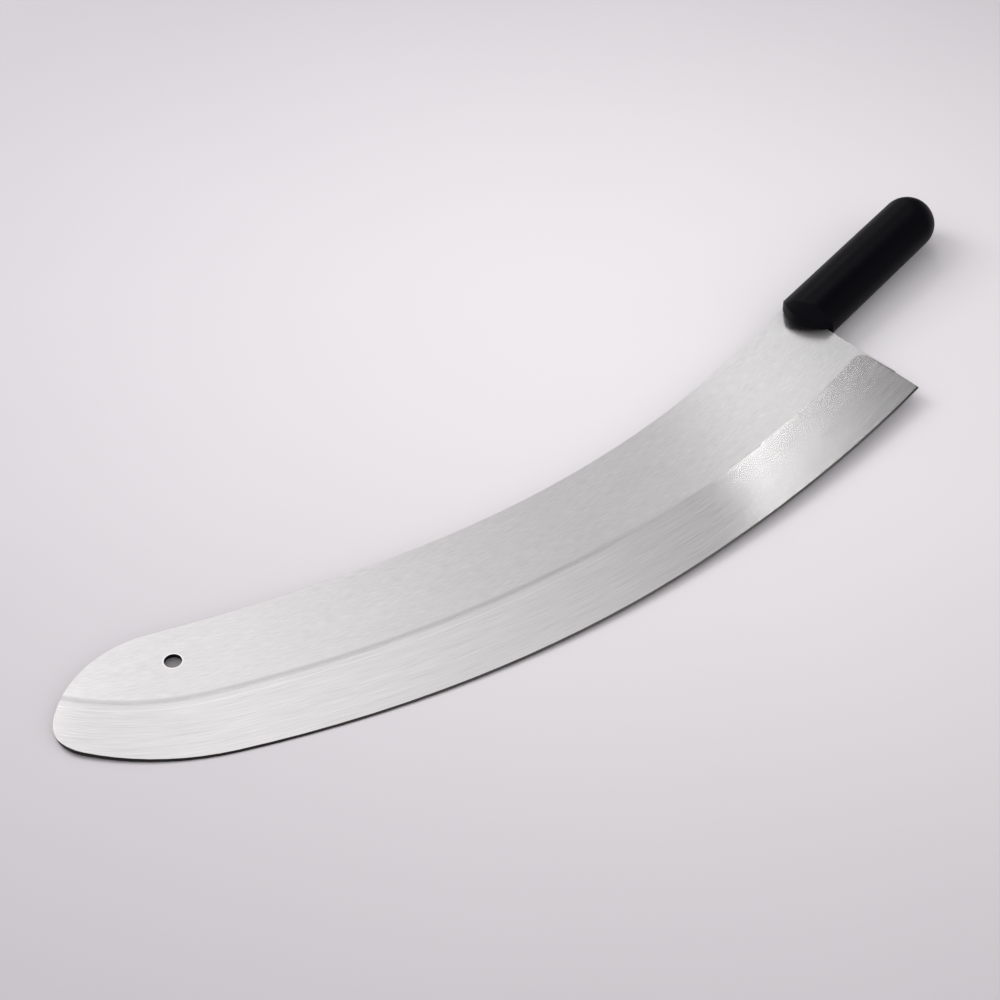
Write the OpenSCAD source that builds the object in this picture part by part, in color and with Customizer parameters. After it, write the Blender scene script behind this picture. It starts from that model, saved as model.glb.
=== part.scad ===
// Crescent mincing knife: one wide stainless plate, ground and sharpened along its curved edge,
// with its tang moulded into a black plastic handle. It lies on its side, as on a table.
// The layout is drawn with the handle's axis along X, the butt end at X = 0 and the tip towards -X.
// Angles of the edge and the spine are turned from straight down, and grow towards the tip.

/* [Blade plate] */
// Thickness of the plate
blade_t = 2.5; // [1.5:0.1:5]
// Height of the straight spine above the handle's axis
spine_h = 14.5; // [12:0.5:15]
// Straight length of the spine in front of the handle
neck_len = 53; // [30:1:90]
// Radius of the rear part of the hollow spine
spine_back_r = 546; // [500:2:600]
// Angle that the rear part of the spine turns through
spine_back_turn = 23.1; // [20:0.1:26]
// Radius of the front part of the hollow spine
spine_front_r = 876; // [700:2:1100]

/* [Heel] */
// Distance of the heel line behind the handle's front, measured on the handle's axis
heel_in = 10; // [6:0.5:14]
// Depth of the heel corner below the handle's axis
heel_depth = 81; // [70:1:90]
// Forward lean of the heel line
heel_lean = 10; // [0:0.5:15]

/* [Cutting edge] */
// Radius of the edge next to the heel
heel_arc_r = 920; // [800:2:960]
// Angle that the edge turns through next to the heel
heel_arc_turn = 11.5; // [10:0.1:13]
// Radius of the belly
belly_arc_r = 606; // [580:1:660]
// Angle that the belly turns through
belly_arc_turn = 24.4; // [22:0.1:26]
// Radius of the rise towards the nose
nose_arc_r = 139; // [110:1:170]
// Angle that the rise turns through
nose_arc_turn = 30.4; // [26:0.1:34]
// Radius of the tip
tip_r = 21.5; // [18:0.5:26]
// Radius between the tip and the spine
brow_r = 58.5; // [45:0.5:80]

/* [Grinding] */
// Height of the ground band at the heel
grind_heel_h = 42; // [34:0.5:50]
// Height of the ground band at the front end of the belly
grind_nose_h = 41.5; // [34:0.5:48]
// Radius of the upper border of the ground band
grind_r = 640; // [560:2:720]
// Radius of that border towards the tip
grind_tip_r = 144; // [110:1:180]
// Thickness left behind the sharpened edge, at the belly
shoulder_t = 1.0; // [0.6:0.1:1.4]
// Slope of the sharpened bevel on each side
bevel_angle = 21; // [16:0.5:30]
// Width of the flat that sharpening leaves on the edge
edge_land = 0.15; // [0.1:0.05:0.4]
// Radius that the bevel follows round the tip, where it runs out
bevel_tip_r = 30; // [29:0.5:36]
// Width of the unground sliver at the top of the heel
heel_land = 1.3; // [0.5:0.1:3]
// Length of that sliver along the heel
heel_land_len = 25; // [12:1:30]
// Corner radius of the ground band at the heel
grind_corner_r = 6; // [3:0.5:9]

/* [Hanging hole] */
// Diameter of the hole
hole_d = 9; // [5:0.5:14]
// Distance of its centre behind the tip
hole_from_tip = 70; // [55:1:90]
// Height of its centre above the middle of the tip's round
hole_rise = -2; // [-8:0.5:5]

/* [Tang] */
// Width of the tang
tang_w = 19; // [12:0.5:22]
// Length of the tang inside the handle
tang_len = 112; // [80:1:118]
// Distance of the upper shoulder behind the handle's front
shoulder_in = 14; // [8:1:24]
// Diameter of the holes that the plastic flows through
key_hole_d = 8; // [4:0.5:10]
// Number of those holes
key_count = 3; // [2:1:4]

/* [Handle] */
// Width of the handle
handle_w = 35; // [33:0.5:44]
// Thickness of the handle
handle_t = 24; // [20:0.5:30]
// Radius of the handle's long sides
side_r = 8.5; // [6:0.5:9.5]
// Radius of the butt end towards the spine, and distance from the sides at which the oval levels off
butt_spine_r = 15; // [11:0.5:17]
// Radius of the butt end towards the belly
butt_belly_r = 27.5; // [22:0.5:40]
// Length of the handle from the butt end to the front face, measured on the axis
handle_len = 142; // [134:1:160]
// Slant of the front face across the handle
front_skew = 22.5; // [10:0.5:28]
// Corner radius of the front face at the spine
front_corner_r = 16; // [9:0.5:20]
// Distance of the domed nose's outermost line ahead of the front face
nose_lead = 1.5; // [0:0.5:6]
// Radius of the domed nose in plan
nose_plan_r = 25.5; // [22:0.5:40]
// Distance of the dome's middle from the handle's axis towards the spine
nose_side = 4; // [0:0.5:6]
// How much the rounded nose's radius exceeds half the handle's thickness
nose_ease = 0.3; // [0.1:0.1:4]

/* [Hidden] */
$fn = 180;
// How far a cut runs past the surface that it opens, in mm, and past a neighbouring cut, in degrees
cut = 1;
turn_over = 1;
// How far the shallow grinding cuts start above the plate's face
shave = 0.25;
// Depth of the border that is turned along each arc, and how far it reaches into the blade's middle
border_depth = 12;
border_overlap = 2;
// How far the spine's hollow bites into the brow's arc, so that the two cross at one clear point
brow_bite = 0.02;
// Height of the middle above the spine, which the spine's hollow then cuts off
spine_over = 40;
// Angles that the edge's arc and the grinding run on past the heel line
heel_over = 2;
grind_heel_over = 12;
// Angles that the grinding and the bevel follow round the tip
grind_tip_turn = 60;
bevel_tip_turn = 80;
// How far the grinding cut runs on past the band's height
grind_over = 20;

// Unit vector that points away from the blade at an angle of the outline
function out(a) = [sin(a), -cos(a)];
function unit(v) = v / norm(v);
// Turns a vector's direction into an angle of the outline, from 0 at the bottom down to -360
function outline_angle(v) = let (a = atan2(v.x, -v.y)) a > 0 ? a - 360 : a;
// X of the heel line at a height
function heel_line_x(y) = heel_in - handle_len + y * tan(heel_lean);

// Edge, as tangent arcs from the heel corner forwards
heel_tip = [heel_line_x(-heel_depth), -heel_depth];
edge_r = [heel_arc_r, belly_arc_r, nose_arc_r, tip_r];
edge_end = [
    -heel_arc_turn,
    -heel_arc_turn - belly_arc_turn,
    -heel_arc_turn - belly_arc_turn - nose_arc_turn
];
function edge_centre(i) = i == 0
    ? heel_tip + [0, heel_arc_r]
    : edge_centre(i - 1) + (edge_r[i - 1] - edge_r[i]) * out(edge_end[i - 1]);
tip_centre = edge_centre(3);

// Spine, as tangent arcs from the handle forwards
spine_start = [-handle_len - neck_len, spine_h];
spine_back_centre = spine_start + [0, spine_back_r];
spine_join = spine_back_centre + spine_back_r * out(-spine_back_turn);
spine_front_centre = spine_join - spine_front_r * out(-spine_back_turn);

// The brow arc touches the tip's round from outside and the spine's arc from below
tip_to_spine = spine_front_centre - tip_centre;
brow_to_spine = spine_front_r + brow_r - brow_bite;
brow_reach = (pow(norm(tip_to_spine), 2) + pow(brow_r - tip_r, 2) - pow(brow_to_spine, 2))
    / (2 * norm(tip_to_spine));
brow_side = sqrt(max(0, pow(brow_r - tip_r, 2) - pow(brow_reach, 2)));
brow_centre = tip_centre + brow_reach * unit(tip_to_spine)
    + brow_side * unit([tip_to_spine.y, -tip_to_spine.x]);
tip_end = outline_angle(tip_centre - brow_centre);
brow_end = outline_angle(spine_front_centre - brow_centre);
brow_end_point = brow_centre + brow_r * out(brow_end);

// Arcs from the heel to the brow as centre, radius, first and last angle, and whether the arc is sharpened
outline_arcs = [
    [edge_centre(0), edge_r[0], heel_over, edge_end[0], true],
    [edge_centre(1), edge_r[1], edge_end[0], edge_end[1], true],
    [edge_centre(2), edge_r[2], edge_end[1], edge_end[2], true],
    [tip_centre, tip_r, edge_end[2], tip_end, false]
];

// Ground band: its upper border runs through two points above the edge
heel_up = [sin(heel_lean), cos(heel_lean)];
heel_inwards = [-cos(heel_lean), sin(heel_lean)];
grind_heel_point = heel_tip + grind_heel_h * heel_up;
grind_nose_point = edge_centre(1) + (belly_arc_r - grind_nose_h) * out(edge_end[1]);
grind_chord = grind_heel_point - grind_nose_point;
grind_centre = (grind_heel_point + grind_nose_point) / 2
    + sqrt(pow(grind_r, 2) - pow(norm(grind_chord) / 2, 2)) * unit([-grind_chord.y, grind_chord.x]);
grind_join = outline_angle(grind_nose_point - grind_centre);
grind_tip_centre = grind_centre + (grind_r - grind_tip_r) * out(grind_join);
bevel_slope = tan(bevel_angle);
bevel_w = (shoulder_t - edge_land) / 2 / bevel_slope;
full_bevel_w = (blade_t - edge_land) / 2 / bevel_slope;
grind_slope = (blade_t - shoulder_t) / 2 / (grind_nose_h - bevel_w);

// Hole and tang
hole_centre = tip_centre + [hole_from_tip - tip_r, hole_rise];
shoulder_x = shoulder_in - handle_len;
tang_round_x = tang_len - handle_len - tang_w / 2;
key_pitch = (tang_round_x - shoulder_x) / key_count;

// Handle
half_w = handle_w / 2;
half_t = handle_t / 2;
nose_x = handle_len + nose_lead;
nose_r = half_t + nose_ease;
nose_centre = [nose_plan_r - nose_x, nose_side];
nose_level_r = nose_plan_r - nose_r + sqrt(pow(nose_r, 2) - pow(half_t, 2));
crown_r = (pow(butt_spine_r - side_r, 2) + pow(half_t, 2) - pow(side_r, 2)) / (2 * (half_t - side_r));
crown_w = (butt_spine_r - side_r) * crown_r / (crown_r - side_r);

// Butt end in plan: a wide arc from the belly's side that runs into a tighter one from the spine's side.
// The two centres and the point where the arcs meet lie on one line, in the direction of the join.
level_y = half_w - butt_spine_r;
butt_spine_centre = [-butt_spine_r, level_y];
butt_turn = asin((butt_belly_r + butt_spine_r - handle_w) / (butt_belly_r - butt_spine_r));
butt_join = [cos(butt_turn), -sin(butt_turn)];
butt_belly_centre = butt_spine_centre - (butt_belly_r - butt_spine_r) * butt_join;
butt_reach = 2 * butt_belly_r;

// Lying on a table: the knife balances on a point of the belly and on the handle's underside where the
// nose starts, and the rounded underside dips a little below that point
belly_touch_turn = 33.8;
underside_dip = 0.01;

belly_touch = concat(edge_centre(1) + (belly_arc_r - bevel_w) * out(-belly_touch_turn), -shoulder_t / 2);
nose_start = nose_centre.x - sqrt(pow(nose_level_r, 2) - pow(level_y + nose_centre.y, 2));
handle_touch = [nose_start, -level_y, -half_t];
belly_along = [cos(belly_touch_turn), -sin(belly_touch_turn), 0];
table_up = unit(cross(belly_along, handle_touch - belly_touch));
middle = [
    (tip_centre.x - tip_r) / 2,
    (brow_centre.y + brow_r + heel_tip.y) / 2,
    0
];

// Tilts the knife onto the table and puts the middle of its footprint at the origin
module lying() {
    translate([0, 0, underside_dip - table_up * (belly_touch - middle)])
        rotate(a = acos(table_up.z), v = [table_up.y, -table_up.x, 0])
        translate(-middle) children();
}

// A flat piece of the plate's thickness, or as thick as asked
module flat(t = blade_t) {
    linear_extrude(t, center = true) children();
}

// Turns a profile of radius and height about a centre, between two angles of the outline
module turned(centre, from, to) {
    translate(centre) rotate([0, 0, to - 90]) rotate_extrude(angle = from - to, $fn = 360) children();
}

// A profile drawn for one face of the plate, on both of them
module both_faces(points) {
    for (side = [-1, 1]) polygon([for (p = points) [p.x, side * p.y]]);
}

// Border of the blade along one arc, deep enough to reach the middle piece behind the arc's chord
module border(centre, r, from, to, sharp) {
    inner = r * cos((from - to) / 2) - border_depth - border_overlap;
    turned(centre, from, to) polygon([
        [inner, -blade_t / 2],
        [r - (sharp ? full_bevel_w : 0), -blade_t / 2],
        [r, sharp ? -edge_land / 2 : -blade_t / 2],
        [r, sharp ? edge_land / 2 : blade_t / 2],
        [r - (sharp ? full_bevel_w : 0), blade_t / 2],
        [inner, blade_t / 2]
    ]);
}

// What the hollow spine leaves out: two tangent discs and the strip above the straight run
module above_spine() {
    across = [-cos(spine_back_turn), sin(spine_back_turn)];
    up = -out(-spine_back_turn);
    thick = 2 * blade_t;
    translate(spine_back_centre) cylinder(r = spine_back_r, h = thick, center = true);
    flat(thick) intersection() {
        translate(spine_front_centre) circle(r = spine_front_r);
        polygon([
            spine_join - cut * up,
            spine_join + spine_front_r * up,
            spine_join + spine_front_r * (up + across),
            spine_join - cut * up + spine_front_r * across
        ]);
    }
    flat(thick) translate(spine_start) square([neck_len + handle_len, 2 * spine_over]);
}

// Blade and tang before grinding, with the holes that the plastic flows through
module plate() {
    heel_top = [heel_line_x(-tang_w / 2), -tang_w / 2];
    difference() {
        union() {
            for (arc = outline_arcs) border(arc[0], arc[1], arc[2], arc[3], arc[4]);
            border(brow_centre, brow_r, tip_end, brow_end - turn_over, false);
            flat() polygon(concat(
                [[heel_top.x, heel_tip.y + border_depth], heel_tip + [0, border_depth]],
                [for (arc = outline_arcs) arc[0] + (arc[1] - border_depth) * out(arc[3])],
                [
                    brow_end_point - border_depth * out(brow_end),
                    brow_end_point + spine_over * out(brow_end),
                    spine_join - spine_over * out(-spine_back_turn),
                    spine_start + [0, spine_over],
                    [shoulder_x, spine_h + spine_over],
                    [shoulder_x, tang_w / 2],
                    [tang_round_x, tang_w / 2],
                    [tang_round_x, -tang_w / 2],
                    heel_top
                ]
            ));
            translate([tang_round_x, 0]) cylinder(d = tang_w, h = blade_t, center = true);
        }
        above_spine();
        flat(2 * blade_t) polygon([
            heel_top,
            [heel_line_x(-2 * heel_depth), -2 * heel_depth],
            [0, -2 * heel_depth],
            [0, heel_top.y]
        ]);
        for (i = [0 : key_count - 1]) translate([shoulder_x + (i + 0.5) * key_pitch, 0])
            cylinder(d = key_hole_d, h = 2 * blade_t, center = true);
    }
}

// Metal that grinding takes off outside one border radius
module grind_profile(r) {
    width = grind_heel_h + grind_over;
    both_faces([
        [r - shave / grind_slope, blade_t / 2 + shave],
        [r + width, blade_t / 2 - width * grind_slope],
        [r + width, blade_t / 2 + shave]
    ]);
}

// The band stops short of the heel with a rounded corner and leaves a narrow sliver there
module heel_sliver() {
    low = grind_heel_point - heel_land_len * heel_up;
    high = grind_heel_point + heel_land * heel_inwards;
    up = unit(high - low);
    inwards = [-up.y, up.x];
    // Centre of the corner: one radius inside the sliver's border and below the band's border
    start = low + grind_corner_r * inwards - grind_centre;
    climb = -start * up - sqrt(pow(start * up, 2) - start * start + pow(grind_r + grind_corner_r, 2));
    corner = grind_centre + start + climb * up;
    to_band = unit(grind_centre - corner);
    flat(2 * blade_t) polygon([
        low - up * heel_land_len,
        high + up * heel_land_len,
        high + up * heel_land_len - inwards * heel_land_len,
        low - up * heel_land_len - inwards * heel_land_len
    ]);
    flat(2 * blade_t) difference() {
        polygon([
            corner,
            corner - (grind_corner_r + cut) * inwards,
            corner - (grind_corner_r + cut) * inwards + (2 * grind_corner_r) * up,
            corner + (2 * grind_corner_r) * to_band
        ]);
        translate(corner) circle(r = grind_corner_r);
    }
}

module grinding() {
    difference() {
        turned(grind_centre, grind_heel_over, grind_join - turn_over) grind_profile(grind_r);
        heel_sliver();
    }
    turned(grind_tip_centre, grind_join, grind_join - grind_tip_turn) grind_profile(grind_tip_r);
}

// Round the tip the bevel follows a wider curve than the outline, so it runs out there
module tip_bevel() {
    centre = tip_centre + (tip_r - bevel_tip_r) * out(edge_end[2]);
    low = edge_land / 4;
    reach = bevel_tip_r + low / bevel_slope;
    turned(centre, edge_end[2], edge_end[2] - bevel_tip_turn) both_faces([
        [bevel_tip_r - full_bevel_w - shave / bevel_slope, blade_t / 2 + shave],
        [reach, low],
        [reach, blade_t / 2 + shave]
    ]);
}

module blade() {
    color([0.78, 0.79, 0.80]) lying() difference() {
        plate();
        translate(hole_centre) cylinder(d = hole_d, h = 2 * blade_t, center = true);
        grinding();
        tip_bevel();
    }
}

// Part of the handle's oval section between the line where it levels off and its round side
module crown() {
    intersection() {
        translate([0, half_t - crown_r]) circle(r = crown_r);
        translate([0, crown_r - half_t]) circle(r = crown_r);
        translate([0, -handle_t]) square([crown_w, 2 * handle_t]);
    }
}

// One long side of the handle, up to where the butt end starts to turn
module long_side(end_x) {
    length = end_x + nose_x + half_w;
    translate([end_x - length, level_y, 0]) rotate([90, 0, 90]) {
        linear_extrude(length) crown();
        translate([butt_spine_r - side_r, 0]) cylinder(r = side_r, h = length);
    }
}

// The same side, turned round one centre of the butt end and kept between two directions from there
module butt_side(centre, r, from, to) {
    translate(centre) intersection() {
        union() {
            rotate_extrude($fn = 360) translate([r - butt_spine_r, 0]) crown();
            rotate_extrude($fn = 360) translate([r - side_r, 0]) intersection() {
                circle(r = side_r);
                translate([0, -side_r]) square(2 * side_r);
            }
        }
        flat(handle_t + 2 * cut) polygon([
            [0, 0],
            butt_reach * from,
            butt_reach * (from + to),
            butt_reach * to
        ]);
    }
}

// Bar of oval section with a lopsided round butt end
module bar() {
    long_side(butt_spine_centre.x);
    mirror([0, 1, 0]) long_side(butt_belly_centre.x);
    butt_side(butt_spine_centre, butt_spine_r, [0, 1], butt_join);
    butt_side(butt_belly_centre, butt_belly_r, butt_join, [0, -1]);
    translate([-nose_x - half_w, -level_y, -half_t])
        cube([butt_belly_centre.x + nose_x + half_w, 2 * level_y, handle_t]);
    flat(handle_t) intersection() {
        translate(butt_belly_centre) circle(r = butt_belly_r - butt_spine_r);
        polygon([
            [butt_belly_centre.x, level_y],
            butt_spine_centre,
            [butt_spine_centre.x, -half_w],
            [butt_belly_centre.x, -half_w]
        ]);
    }
}

// Front face in plan: a slanted line whose corner at the spine is rounded
module front() {
    reach = 2 * handle_w;
    towards_spine = [-sin(front_skew), cos(front_skew)];
    forwards = [-cos(front_skew), -sin(front_skew)];
    corner_y = half_w - front_corner_r;
    corner = [front_corner_r / cos(front_skew) - handle_len - corner_y * tan(front_skew), corner_y];
    touch = corner + front_corner_r * forwards;
    translate(corner) cylinder(r = front_corner_r, h = 2 * handle_t, center = true);
    flat(2 * handle_t) polygon([
        touch,
        corner,
        corner + [0, front_corner_r + cut],
        [cut, half_w + cut],
        [cut, -reach],
        touch - reach * towards_spine
    ]);
}

// Full round along an arc in plan, which domes the front of the bar
module nose() {
    reach = 2 * handle_w;
    translate(nose_centre) {
        rotate_extrude($fn = 360) translate([nose_plan_r - nose_r, 0]) circle(r = nose_r);
        cylinder(r = nose_plan_r - nose_r, h = 2 * handle_t, center = true);
        translate([0, -reach, -handle_t]) cube([2 * nose_x, 2 * reach, 2 * handle_t]);
    }
}

module handle() {
    color([0.06, 0.06, 0.07]) lying() difference() {
        intersection() {
            bar();
            front();
            nose();
        }
        plate();
    }
}

blade();
handle();
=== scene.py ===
# %% [markdown]
# # A mincing knife, dressed and photographed
# The knife is a wide crescent of stainless sheet with a black moulded handle. It lies on its side on a pale
# table. Its solids are already exact, so nothing is modelled again here. What is left is what the eye reads as
# steel and plastic: how each surface was made, and the light it stands in.
# The lesson goes from the measured knife to its own directions, then the two finishes, then the light, and
# the camera comes last.

import math

import bpy
from mathutils import Matrix, Vector

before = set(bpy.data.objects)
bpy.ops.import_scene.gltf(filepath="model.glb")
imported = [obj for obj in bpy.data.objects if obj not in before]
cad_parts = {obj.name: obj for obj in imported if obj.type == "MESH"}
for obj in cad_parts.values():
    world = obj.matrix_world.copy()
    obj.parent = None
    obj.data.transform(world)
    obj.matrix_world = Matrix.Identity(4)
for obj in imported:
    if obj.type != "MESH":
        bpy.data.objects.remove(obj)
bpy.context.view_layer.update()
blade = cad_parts["blade"]
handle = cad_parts["handle"]

# %% [markdown]
# ## The plate's own directions
# The knife rests on the round of its belly and on the handle, so the plate leans a little. A brushed pattern
# has to follow the plate and not the table. The plate was drawn flat, with the handle's axis along X and the
# spine towards Y, before it was laid down. Undoing that last step gives every point its place in the drawing.
# A texture coordinate could be painted on the mesh instead, but a short sum of the same measures is exact
# and stays with the steel from every side.

# %% Undo the lean
MM = 0.001
TABLE_UP = Vector((0.0313413, 0.046817, 0.998412)).normalized()
DRAWING_MIDDLE = Vector((-305.905, 26.8516, 0.0)) * MM
LIFT = Vector((0.0, 0.0, 7.93069)) * MM

lean_angle = math.acos(TABLE_UP.z)
lean = Matrix.Rotation(lean_angle, 3, Vector((TABLE_UP.y, -TABLE_UP.x, 0.0)))
unlean = lean.transposed()
plate_normal = lean @ Vector((0.0, 0.0, 1.0))
drawing_offset = DRAWING_MIDDLE - unlean @ LIFT
print("the plate leans by", round(math.degrees(lean_angle), 2), "degrees")

# %% [markdown]
# ## Two small helpers
# Colours are easiest to read as hex values, as in a paint program, but a shader wants linear light. One
# function turns the first into the second. The other adds a node, sets its fields, fills its inputs with plain
# values or with links, and hands back the output that the next node needs.
# Some inputs are known by a number only. A Mix node has its two plain values at 2 and 3 and its two colours at
# 6 and 7, so those places get names here.

# %% Colour and node helpers
VALUE_A, VALUE_B = 2, 3
COLOUR_A, COLOUR_B = 6, 7
COLOURS = {"data_type": "RGBA", "out": 2}
SOFT = {"interpolation_type": "SMOOTHSTEP"}


def linear(hex_colour):
    """Turns an sRGB hex value into a linear colour with alpha."""
    steps = [int(hex_colour[i : i + 2], 16) / 255 for i in (1, 3, 5)]
    return tuple(s / 12.92 if s <= 0.04045 else ((s + 0.055) / 1.055) ** 2.4 for s in steps) + (1.0,)


def add(kind, inputs=None, out=0, **fields):
    """Adds a node to the open tree. Inputs take values or other nodes' outputs; out picks the answer."""
    made = tree.nodes.new("ShaderNode" + kind)
    for name, value in fields.items():
        setattr(made, name, value)
    for name, value in (inputs or {}).items():
        if isinstance(value, bpy.types.NodeSocket):
            tree.links.new(value, made.inputs[name])
        else:
            made.inputs[name].default_value = value
    return made.outputs[out] if len(made.outputs) else made


print("mid grey #808080 is", round(linear("#808080")[0], 3), "in linear light")

# %% [markdown]
# ## Brushed and ground stainless steel
# The plate is cut from stainless sheet, and its wide faces are brushed to a satin along the blade's curve. The
# band above the edge is ground thinner on a belt that runs the same way, and its marks are longer. The edge
# itself is a narrow bevel from a stone. To the eye that gives three greys, each with its own sparkle.
# One steel could be split into three materials on three meshes, but it is one sheet. So one material finds the
# three areas itself: the slope of the surface says which cut made it, and the circles that the grinding
# followed say which way the belt ran. These measures are the knife's own, in the flat drawing.

# %% Measures of the grinding
GRIND_CENTRE = Vector((-174.365, 599.383)) * MM
GRIND_R = 640.0 * MM
GRIND_TURN = math.radians(34.83)
GRIND_TIP_R = 144.0 * MM

edge_side = Vector((math.sin(-GRIND_TURN), -math.cos(-GRIND_TURN)))
grind_tip_centre = GRIND_CENTRE + (GRIND_R - GRIND_TIP_R) * edge_side
print("the belt's path bends tighter at", [round(v / MM, 1) for v in GRIND_CENTRE + GRIND_R * edge_side])

# %% [markdown]
# ### Where a point lies on the drawing
# A belt leaves its marks in the metal, so the pattern has to be fixed to the steel. The object's own
# coordinates do that, and the Mapping node takes them back to the flat drawing in one step.

# %% Steel: where a point lies on the drawing
steel = bpy.data.materials.new("stainless_brushed_and_ground")
steel.use_nodes = True
tree = steel.node_tree
tree.nodes.clear()
place = add("TexCoord", out="Object")
on_drawing = add("Mapping", {"Vector": place, "Location": drawing_offset, "Rotation": unlean.to_euler()})
drawing_x = add("SeparateXYZ", {0: on_drawing}, out="X")
drawing_y = add("SeparateXYZ", {0: on_drawing}, out="Y")
print("a point's place is read in the plate's own drawing")

# %% [markdown]
# ### Which cut made the surface
# The plate, the ground band and the bevel lean differently. A mask could be painted for each, but the angle
# between the surface and the plate already tells them apart. It is read as a cosine: 1 is the flat plate, the
# band lies a little below 1, and the bevel well below.

# %% Steel: which cut made the surface
FLAT, SLOPED = 0.99995, 0.99990
SHALLOW, STEEP = 0.98, 0.95
facing = add("NewGeometry", out="True Normal")
along_normal = add("VectorMath", {0: facing, 1: plate_normal}, out="Value", operation="DOT_PRODUCT")
level = add("Math", {0: along_normal}, operation="ABSOLUTE")
is_sloped = add("MapRange", {"Value": level, "From Min": FLAT, "From Max": SLOPED}, **SOFT)
is_bevel = add("MapRange", {"Value": level, "From Min": SHALLOW, "From Max": STEEP}, **SOFT)
print("three areas: plate, ground band, bevel")

# %% [markdown]
# ### Along and across the belt
# The belt ran along a wide circle, and on a tighter one round the tip. An angle round the circle and a
# distance from it are the natural ruler for its marks. Bent pictures of scratches would need a mapping
# painted by hand, and would blur at the tip.


# %% Steel: along and across the belt
def ring(centre, radius):
    """Distance outside a circle of the drawing, and the angle round it, which grows towards the tip."""
    dx = add("Math", {0: drawing_x, 1: centre.x}, operation="SUBTRACT")
    dy = add("Math", {0: drawing_y, 1: centre.y}, operation="SUBTRACT")
    back_x = add("Math", {0: dx, 1: -1.0}, operation="MULTIPLY")
    back_y = add("Math", {0: dy, 1: -1.0}, operation="MULTIPLY")
    angle = add("Math", {0: back_x, 1: back_y}, operation="ARCTAN2")
    reach = add("VectorMath", {0: add("CombineXYZ", {0: dx, 1: dy})}, out="Value", operation="LENGTH")
    return add("Math", {0: reach, 1: radius}, operation="SUBTRACT"), angle


out_big, turn_big = ring(GRIND_CENTRE, GRIND_R)
out_tip, turn_tip = ring(grind_tip_centre, GRIND_TIP_R)
near_tip = add("Math", {0: turn_big, 1: GRIND_TURN}, operation="GREATER_THAN")
outward = add("Mix", {0: near_tip, VALUE_A: out_big, VALUE_B: out_tip})
turn = add("Mix", {0: near_tip, VALUE_A: turn_big, VALUE_B: turn_tip})
past = add("Math", {0: turn_tip, 1: GRIND_TURN}, operation="SUBTRACT")
along_big = add("Math", {0: turn_big, 1: GRIND_R}, operation="MULTIPLY")
along_tip = add("Math", {0: past, 1: GRIND_TIP_R, 2: GRIND_TURN * GRIND_R}, operation="MULTIPLY_ADD")
along = add("Mix", {0: near_tip, VALUE_A: along_big, VALUE_B: along_tip})
print("belt coordinates: metres along the path, metres outside it")

# %% [markdown]
# ### Where the belt's finish begins
# On the real plate the belt's marks don't start exactly at the cut. Towards the tip they begin a few
# millimetres nearer the edge, and at the heel the whole cut shows the belt's finish. The slope's border alone
# would be simpler, but it would put the dull line in the wrong place, so the start is a line of its own.

# %% Steel: where the belt's finish begins
BELT_START = {
    "From Min": math.radians(15.0),
    "From Max": math.radians(52.0),
    "To Min": 1.2 * MM,
    "To Max": 3.6 * MM,
}
START_BLUR = 0.3 * MM
HEEL_STARTS, HEEL_ENDS = math.radians(9.0), math.radians(3.0)
belt_start = add("MapRange", {"Value": turn, **BELT_START})
past_start = add("Math", {0: outward, 1: belt_start}, operation="SUBTRACT")
is_past = add("MapRange", {"Value": past_start, "From Min": -START_BLUR, "From Max": START_BLUR})
is_heel = add("MapRange", {"Value": turn, "From Min": HEEL_STARTS, "From Max": HEEL_ENDS}, **SOFT)
is_finished = add("Math", {0: is_past, 1: is_heel}, operation="MAXIMUM")
is_ground = add("Math", {0: is_sloped, 1: is_finished}, operation="MULTIPLY")
print("the finish starts", round(BELT_START["To Max"] / MM, 1), "mm past the cut at the tip")

# %% [markdown]
# ### Scratches
# Real brushing marks are a few hundredths of a millimetre wide, which is finer than this picture can show, so
# they are drawn about half a millimetre wide. A picture of brushed metal could be laid on, but it would repeat
# and run straight. So each pattern is noise drawn out along the belt's way: a fine one for the marks and a
# broad one for the streaks where the belt pressed harder. Lengths and widths are in millimetres.


# %% Steel: scratches
def scratches(x, y, length, width, seed):
    """Noise drawn out along x. Length and width are those of one scratch, in millimetres."""
    long_way = add("Math", {0: x, 1: length * MM}, operation="DIVIDE")
    short_way = add("Math", {0: y, 1: width * MM}, operation="DIVIDE")
    where = add("CombineXYZ", {0: long_way, 1: short_way, 2: seed})
    return add("TexNoise", {"Vector": where, "Scale": 1.0, "Detail": 2.0, "Roughness": 0.6})


SHEET_SCRATCH = (7.0, 0.5)
SHEET_STREAK = (40.0, 6.0)
BELT_SCRATCH = (22.0, 0.45)
BELT_STREAK = (90.0, 4.0)
sheet_fine = scratches(along_big, out_big, *SHEET_SCRATCH, seed=1.0)
sheet_broad = scratches(along_big, out_big, *SHEET_STREAK, seed=3.0)
belt_fine = scratches(along, outward, *BELT_SCRATCH, seed=7.0)
belt_broad = scratches(along, outward, *BELT_STREAK, seed=11.0)
fine = add("Mix", {0: is_ground, VALUE_A: sheet_fine, VALUE_B: belt_fine})
broad = add("Mix", {0: is_ground, VALUE_A: sheet_broad, VALUE_B: belt_broad})
print("scratch widths in mm: sheet", SHEET_SCRATCH[1], "belt", BELT_SCRATCH[1])

# %% [markdown]
# ### Satin tones
# A metal's base colour is the share of light that it throws back. The brushed sheet is a very pale grey, and
# the ground band a little darker. The scratches only move each tone between two near greys, because most of
# what the eye sees on metal comes from the light and not from the colour.

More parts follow.
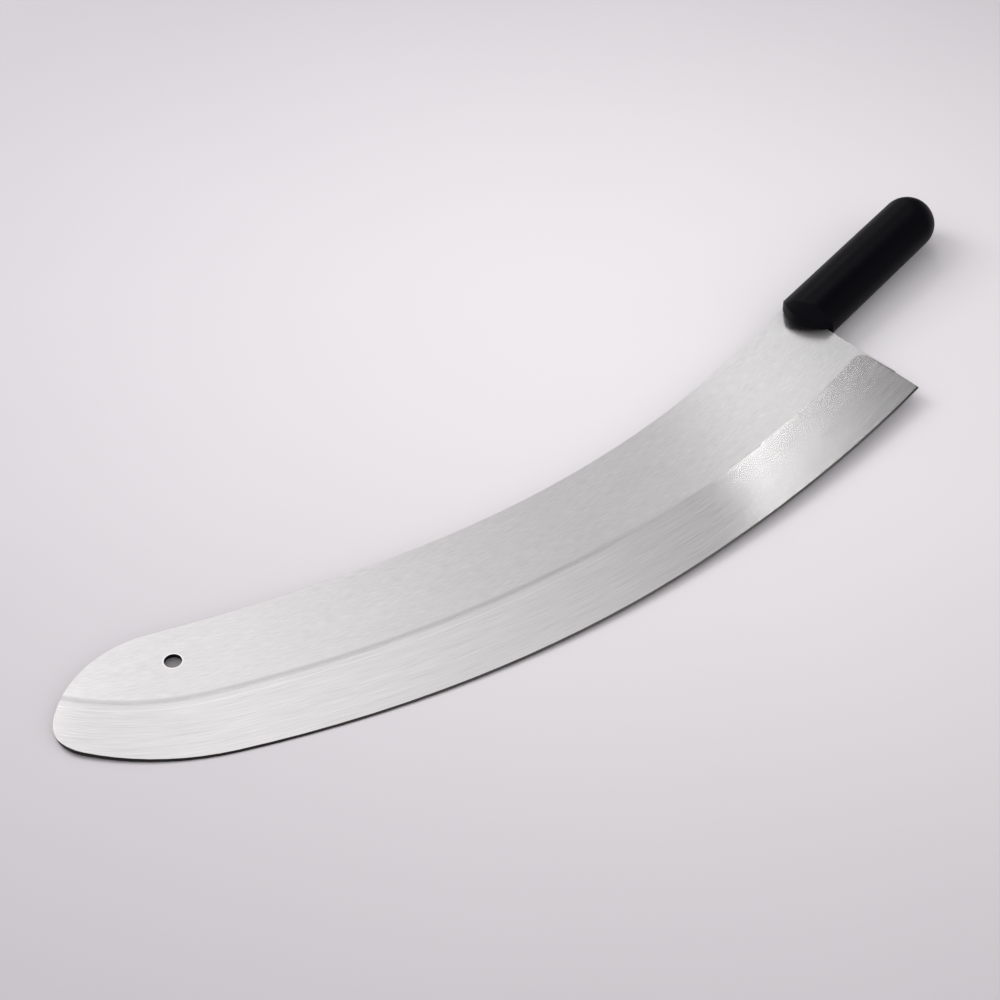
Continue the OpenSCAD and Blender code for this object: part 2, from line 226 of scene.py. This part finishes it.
# %% Steel: satin tones
FINE_SHARE, BROAD_SHARE, DARKER = 1.7, 0.4, -0.55
SHEET_DARK, SHEET_PALE = linear("#D8D7D7"), linear("#F4F3F3")
BELT_DARK, BELT_PALE = linear("#BDBCBC"), linear("#DBDADA")
tone_fine = add("Math", {0: fine, 1: FINE_SHARE, 2: DARKER}, operation="MULTIPLY_ADD")
tone = add("Math", {0: broad, 1: BROAD_SHARE, 2: tone_fine}, operation="MULTIPLY_ADD")
sheet_tone = add("Mix", {0: tone, COLOUR_A: SHEET_DARK, COLOUR_B: SHEET_PALE}, **COLOURS)
belt_tone = add("Mix", {0: tone, COLOUR_A: BELT_DARK, COLOUR_B: BELT_PALE}, **COLOURS)
satin = add("Mix", {0: is_ground, COLOUR_A: sheet_tone, COLOUR_B: belt_tone}, **COLOURS)
print("satin tones for the plate and the band")

# %% [markdown]
# ### The lines where the belt's edge rubbed
# The side of the belt leaves a thin dull line where its finish begins, and a faint pale one beside it. Both
# fade out towards the heel. A groove could be cut into the solid, but these are rub marks with no depth to
# speak of. So they are drawn as colour, by their distance from the start line, and the sheet's scratches break
# them up.

# %% Steel: the rubbed lines
RUB_STARTS, RUB_FULL, RUB_MOST = math.radians(9.0), math.radians(20.0), 0.4
WORN_FROM, WORN_TO, WORN_LEAST = 0.3, 0.7, 0.5
LINE_OUT, LINE_IN = 2.6 * MM, 0.5 * MM
SECOND_AT = 5.2 * MM
SECOND_OUT, SECOND_IN = 0.6 * MM, 0.2 * MM
rub_range = {"From Min": RUB_STARTS, "From Max": RUB_FULL, "To Max": RUB_MOST}
deep = add("MapRange", {"Value": turn, **rub_range}, **SOFT)
worn = add("MapRange", {"Value": sheet_fine, "From Min": WORN_FROM, "From Max": WORN_TO, "To Min": WORN_LEAST})
rubbed = add("Math", {0: deep, 1: worn}, operation="MULTIPLY")
off_line = add("Math", {0: past_start}, operation="ABSOLUTE")
line_range = {"From Min": LINE_OUT, "From Max": LINE_IN, "To Max": rubbed}
line = add("MapRange", {"Value": off_line, **line_range}, **SOFT)
lined = add("Mix", {0: line, COLOUR_A: satin, COLOUR_B: linear("#8A8889")}, **COLOURS)
past_second = add("Math", {0: past_start, 1: SECOND_AT}, operation="SUBTRACT")
off_second = add("Math", {0: past_second}, operation="ABSOLUTE")
second_range = {"From Min": SECOND_OUT, "From Max": SECOND_IN, "To Max": rubbed}
second = add("MapRange", {"Value": off_second, **second_range}, **SOFT)
polished = add("Mix", {0: second, COLOUR_A: lined, COLOUR_B: linear("#E4E3E3")}, **COLOURS)
print("the second line runs", round(SECOND_AT / MM, 1), "mm beside the first")

# %% [markdown]
# ### The hole's rim
# The hanging hole is deburred, and its small rounded break catches the light as a bright ring about half a
# millimetre wide. Such a small break could be modelled, but at this distance only its brightness shows, so the
# ring is painted: a near-white ring of colour round the hole's centre on the upper face stands for the break's
# polish and for its glint, a painted highlight.

# %% Steel: the hole's rim, a painted highlight
HOLE_CENTRE = (-541.81 * MM, 103.785 * MM, 1.25 * MM)
HOLE_R = 4.5 * MM
RIM_OUT, RIM_IN = 0.7 * MM, 0.5 * MM
# Painted highlight: the near-white ring stands for the glint on the deburred break round the hole.
from_hole = add("VectorMath", {0: on_drawing, 1: HOLE_CENTRE}, out="Value", operation="DISTANCE")
rim_glint = add("MapRange", {"Value": from_hole, "From Min": HOLE_R + RIM_OUT, "From Max": HOLE_R + RIM_IN}, **SOFT)
rim_painted_highlight = add("Mix", {0: rim_glint, COLOUR_A: polished, COLOUR_B: linear("#FFFDFE")}, **COLOURS)
print("hole", round(2 * HOLE_R / MM, 1), "mm across")

# %% [markdown]
# ### The bevel
# The bevel comes off a stone, and it is so steep that it faces a darker part of the room. On the real knife it
# is nearly black at the tip and a mid grey at the heel. The light could be bent until it did that, but every
# other face would change with it, so that reflection is painted: two pairs of dark greys are blended along the
# edge. Every steep face takes these greys, so the sheet's cut sides and the hanging hole's wall get painted
# shade as well.

# %% Steel: the bevel's painted reflection
BEVEL_DARKEST_AT, BEVEL_PALEST_AT = math.radians(35.0), math.radians(12.0)
TIP_DARK, TIP_PALE = linear("#191817"), linear("#302F2E")
HEEL_DARK, HEEL_PALE = linear("#626060"), linear("#959391")
heelward = add("MapRange", {"Value": turn, "From Min": BEVEL_DARKEST_AT, "From Max": BEVEL_PALEST_AT}, **SOFT)
# Painted reflection and shade: these dark greys stand for the dark room that the steep faces mirror, not for
# the steel's colour.
painted_bevel_tip = add("Mix", {0: belt_fine, COLOUR_A: TIP_DARK, COLOUR_B: TIP_PALE}, **COLOURS)
painted_bevel_heel = add("Mix", {0: belt_fine, COLOUR_A: HEEL_DARK, COLOUR_B: HEEL_PALE}, **COLOURS)
bevel_painted_reflection = add("Mix", {0: heelward, COLOUR_A: painted_bevel_tip, COLOUR_B: painted_bevel_heel}, **COLOURS)
steel_colour = add("Mix", {0: is_bevel, COLOUR_A: rim_painted_highlight, COLOUR_B: bevel_painted_reflection}, **COLOURS)
print("steel colours set")

# %% [markdown]
# ### Shine
# Brushed metal shines in a fan: a light is drawn out across the scratches and stays narrow along them. That
# is what makes long pale and grey zones change over along the curve. An even gloss would show one blurred room
# all over. The shader makes the fan with anisotropy, and its tangent is set here to lie across the scratches,
# turning with the belt's path. The sheet is duller than the band. The relief is a hundredth of a millimetre,
# just enough to make the light flicker.

# %% Steel: shine
SHEET_ROUGHNESS, BAND_ROUGHNESS, ROUGHNESS_WANDER = 0.33, 0.16, 0.08
RELIEF = 0.01 * MM
base_shine = add("Mix", {0: is_ground, VALUE_A: SHEET_ROUGHNESS, VALUE_B: BAND_ROUGHNESS})
shine = add("Math", {0: fine, 1: ROUGHNESS_WANDER, 2: base_shine}, operation="MULTIPLY_ADD")
scratch_turn = add("Mix", {0: is_ground, VALUE_A: turn_big, VALUE_B: turn})
sine = add("Math", {0: scratch_turn}, operation="SINE")
cosine = add("Math", {0: scratch_turn}, operation="COSINE")
side_x = add("Math", {0: sine, 1: -1.0}, operation="MULTIPLY")
side_y = add("Math", {0: cosine, 1: -1.0}, operation="MULTIPLY")
across = add("CombineXYZ", {0: side_x, 1: side_y})
tangent = add("VectorRotate", {"Vector": across, "Rotation": lean.to_euler()}, rotation_type="EULER_XYZ")
steel_inputs = {
    "Base Color": steel_colour,
    "Metallic": 1.0,
    "Roughness": shine,
    "Anisotropic": 1.0,
    "Tangent": tangent,
    "Normal": add("Bump", {"Strength": 0.25, "Distance": RELIEF, "Height": fine}),
}
add("OutputMaterial", {"Surface": add("BsdfPrincipled", steel_inputs)})
for slot in blade.material_slots:
    slot.material = steel
print("steel on", len(blade.material_slots), "slot of the blade")

# %% [markdown]
# ## Black moulded plastic
# The handle is a tough kitchen plastic such as polypropylene, moulded straight onto the tang in a polished
# but faintly grained mould. It has no parting step that shows. Such plastic is nearly black all through, and
# what the eye reads is its satin shine: a soft grey band where the oval turns towards the light.
# A plain black with one roughness would look like rubber, so the roughness wanders a little, and a fine grain
# breaks up the highlight. The real grain is a tenth of a millimetre or so, too fine to show, so it is drawn
# coarser. Its size and the width of the plastic's flow marks are in millimetres.

# %% Plastic
GRAIN = 0.8 * MM
FLOW = 35.0 * MM
SMOOTHEST, DULLEST = 0.38, 0.46
plastic = bpy.data.materials.new("moulded_black_polypropylene")
plastic.use_nodes = True
tree = plastic.node_tree
tree.nodes.clear()
place = add("TexCoord", out="Object")
grain = add("TexNoise", {"Vector": place, "Scale": 1.0 / GRAIN, "Detail": 3.0})
flow = add("TexNoise", {"Vector": place, "Scale": 1.0 / FLOW, "Detail": 2.0})
plastic_inputs = {
    "Base Color": add("Mix", {0: flow, COLOUR_A: linear("#030206"), COLOUR_B: linear("#050409")}, **COLOURS),
    "Roughness": add("MapRange", {"Value": flow, "To Min": SMOOTHEST, "To Max": DULLEST}),
    "IOR": 1.49,
    "Specular IOR Level": 0.05,
    "Normal": add("Bump", {"Strength": 0.15, "Distance": RELIEF, "Height": grain}),
}
add("OutputMaterial", {"Surface": add("BsdfPrincipled", plastic_inputs)})
for slot in handle.material_slots:
    slot.material = plastic
print("plastic on", len(handle.material_slots), "slot of the handle")

# %% [markdown]
# ## The table
# The knife lies on a pale, faintly pink-grey sheet. A single large floor is enough, and it is stage, not part
# of the knife. Away from the knife the studio's light thins out, and that falloff is painted into the paper's
# colour: a painted pool of light, paler in the middle and darker further out. A spot lamp could do that, but
# the steel would mirror it. Only the faint mottle is the paper's own tone.

# %% Floor
FLOOR_HALF = 6.0
LIGHT_POOL_MIDDLE = (0.12, 0.0, 0.0)
LIGHT_POOL_REACH = 0.7
MOTTLES_PER_METRE = 9.0
MOTTLE_SHARE = 0.06
PAPER_LIT, PAPER_DIMMED = linear("#E2E0E3"), linear("#BAB7BB")
floor_mesh = bpy.data.meshes.new("table_top")
corners = [(x * FLOOR_HALF, y * FLOOR_HALF, 0.0) for x, y in ((-1, -1), (1, -1), (1, 1), (-1, 1))]
floor_mesh.from_pydata(corners, [], [(0, 1, 2, 3)])
floor = bpy.data.objects.new("table_top", floor_mesh)
bpy.context.scene.collection.objects.link(floor)
print("floor", 2 * FLOOR_HALF, "m square")

# %% Paper
paper = bpy.data.materials.new("pale_paper")
paper.use_nodes = True
tree = paper.node_tree
tree.nodes.clear()
place = add("TexCoord", out="Object")
# Painted pool of light: the paper is paler round the middle and darker further out; the mottle on top is the
# paper's own.
away = add("VectorMath", {0: place, 1: LIGHT_POOL_MIDDLE}, out="Value", operation="DISTANCE")
mottle = add("TexNoise", {"Vector": place, "Scale": MOTTLES_PER_METRE, "Detail": 3.0})
fade = add("MapRange", {"Value": away, "From Min": 0.0, "From Max": LIGHT_POOL_REACH}, **SOFT)
pool_and_mottle = add("Math", {0: mottle, 1: MOTTLE_SHARE, 2: fade}, operation="MULTIPLY_ADD")
paper_inputs = {
    "Base Color": add("Mix", {0: pool_and_mottle, COLOUR_A: PAPER_LIT, COLOUR_B: PAPER_DIMMED}, **COLOURS),
    "Roughness": 0.9,
    "Specular IOR Level": 0.1,
}
add("OutputMaterial", {"Surface": add("BsdfPrincipled", paper_inputs)})
floor_mesh.materials.append(paper)
print("paper on the floor")

# %% [markdown]
# ## The room
# Steel shows the room more than itself. The room is a soft dome whose walls are brightest on one side and fall
# off towards the other, with one dark patch overhead. The plate, the band and the bevel each mirror another
# part of it, and so come out in different greys. A photographed room would do it too, but a ramp of a few
# levels says plainly which wall lights which part. Each pair is how far a wall lies towards +X, from 0 to 1,
# and its level.

# %% Room light
WALL = [
    (0.26, 1.2),
    (0.35, 2.0),
    (0.41, 1.5),
    (0.52, 1.48),
    (0.57, 1.05),
    (0.63, 0.92),
    (0.67, 0.36),
    (0.74, 0.2),
]
BRIGHTEST = 2.0
ROOM_LEVEL = 0.85
DARK_AT = (0.45, -0.12, 0.87)
DARK_PATCH = {"From Min": 0.1, "From Max": 0.45, "To Min": 0.1}
room = bpy.data.worlds.new("white_room")
bpy.context.scene.world = room
room.use_nodes = True
tree = room.node_tree
tree.nodes.clear()
heading = add("TexCoord", out="Generated")
wall = add("ValToRGB", {0: add("SeparateXYZ", {0: heading}, out="X")})
ramp = wall.node.color_ramp.elements
while len(ramp) < len(WALL):
    ramp.new(0.5)
for stop, (where, brightness) in zip(ramp, WALL):
    grey = brightness / BRIGHTEST
    stop.position = where
    stop.color = (grey, grey, grey, 1.0)
off_dark = add("VectorMath", {0: heading, 1: DARK_AT}, out="Value", operation="DISTANCE")
ceiling = add("MapRange", {"Value": off_dark, **DARK_PATCH}, **SOFT)
walls = add("Math", {0: wall, 1: ceiling}, operation="MULTIPLY")
dome = add("Math", {0: walls, 1: ROOM_LEVEL * BRIGHTEST}, operation="MULTIPLY")
add("OutputWorld", {"Surface": add("Background", {"Color": linear("#FFFDFE"), "Strength": dome})})
print("room level", ROOM_LEVEL)

# %% [markdown]
# ## Two lamps
# A large soft window behind the spine makes the handle's shadow fall softly towards the edge's side. A narrow
# strip beyond the butt end is mirrored in the ground band, as the bright flare before the heel. Both are area
# lamps, because a bare point of light would give a hard shadow and a hard spot on the steel.


# %% Lamps
def lamp(name, at, aim, size, watts):
    """A soft rectangular lamp that looks at a point."""
    light = bpy.data.lights.new(name, "AREA")
    light.shape = "RECTANGLE"
    light.size, light.size_y = size
    light.energy = watts
    holder = bpy.data.objects.new(name, light)
    holder.location = at
    holder.rotation_euler = (Vector(aim) - Vector(at)).to_track_quat("-Z", "Y").to_euler()
    holder.visible_camera = False
    bpy.context.scene.collection.objects.link(holder)


lamp("window", at=(-0.15, 1.1, 0.95), aim=(0.05, 0.05, 0.0), size=(0.8, 0.8), watts=8.0)
lamp("strip", at=(0.798, 0.43, 0.61), aim=(0.1, -0.05, 0.0), size=(0.022, 0.3), watts=0.45)

# %% [markdown]
# ## The camera
# The photograph's own perspective was worked out from the straight lines of the handle, the round of the
# hanging hole and the plate's outline. It gives a camera 1.2 metres away, about 40 degrees above the table,
# with a focal length of 81 mm. Placing it by eye would be quicker, but with those numbers every edge of the
# knife can be compared with the photograph's.

# %% Camera
CAMERA_AT = Vector((-742.123, -538.977, 768.303)) * MM
CAMERA_RIGHT = Vector((0.611229, -0.791043, -0.025503))
CAMERA_DOWN = Vector((-0.526164, -0.382066, -0.759721))
CAMERA_AHEAD = Vector((0.591228, 0.477782, -0.649749))
FOCAL_PIXELS = 2250.0
FRAME_PIXELS = 1000
SENSOR_WIDTH = 36.0
NEAREST = 0.01

lens = bpy.data.cameras.new("camera")
lens.sensor_fit = "HORIZONTAL"
lens.sensor_width = SENSOR_WIDTH
lens.lens = SENSOR_WIDTH * FOCAL_PIXELS / FRAME_PIXELS
lens.clip_start = NEAREST
camera = bpy.data.objects.new("camera", lens)
axes = Matrix((CAMERA_RIGHT, -CAMERA_DOWN, -CAMERA_AHEAD)).transposed().to_4x4()
camera.matrix_world = Matrix.Translation(CAMERA_AT) @ axes
bpy.context.scene.collection.objects.link(camera)
bpy.context.scene.camera = camera
bpy.context.scene.view_settings.view_transform = "Standard"
print("focal length", round(lens.lens, 1), "mm")
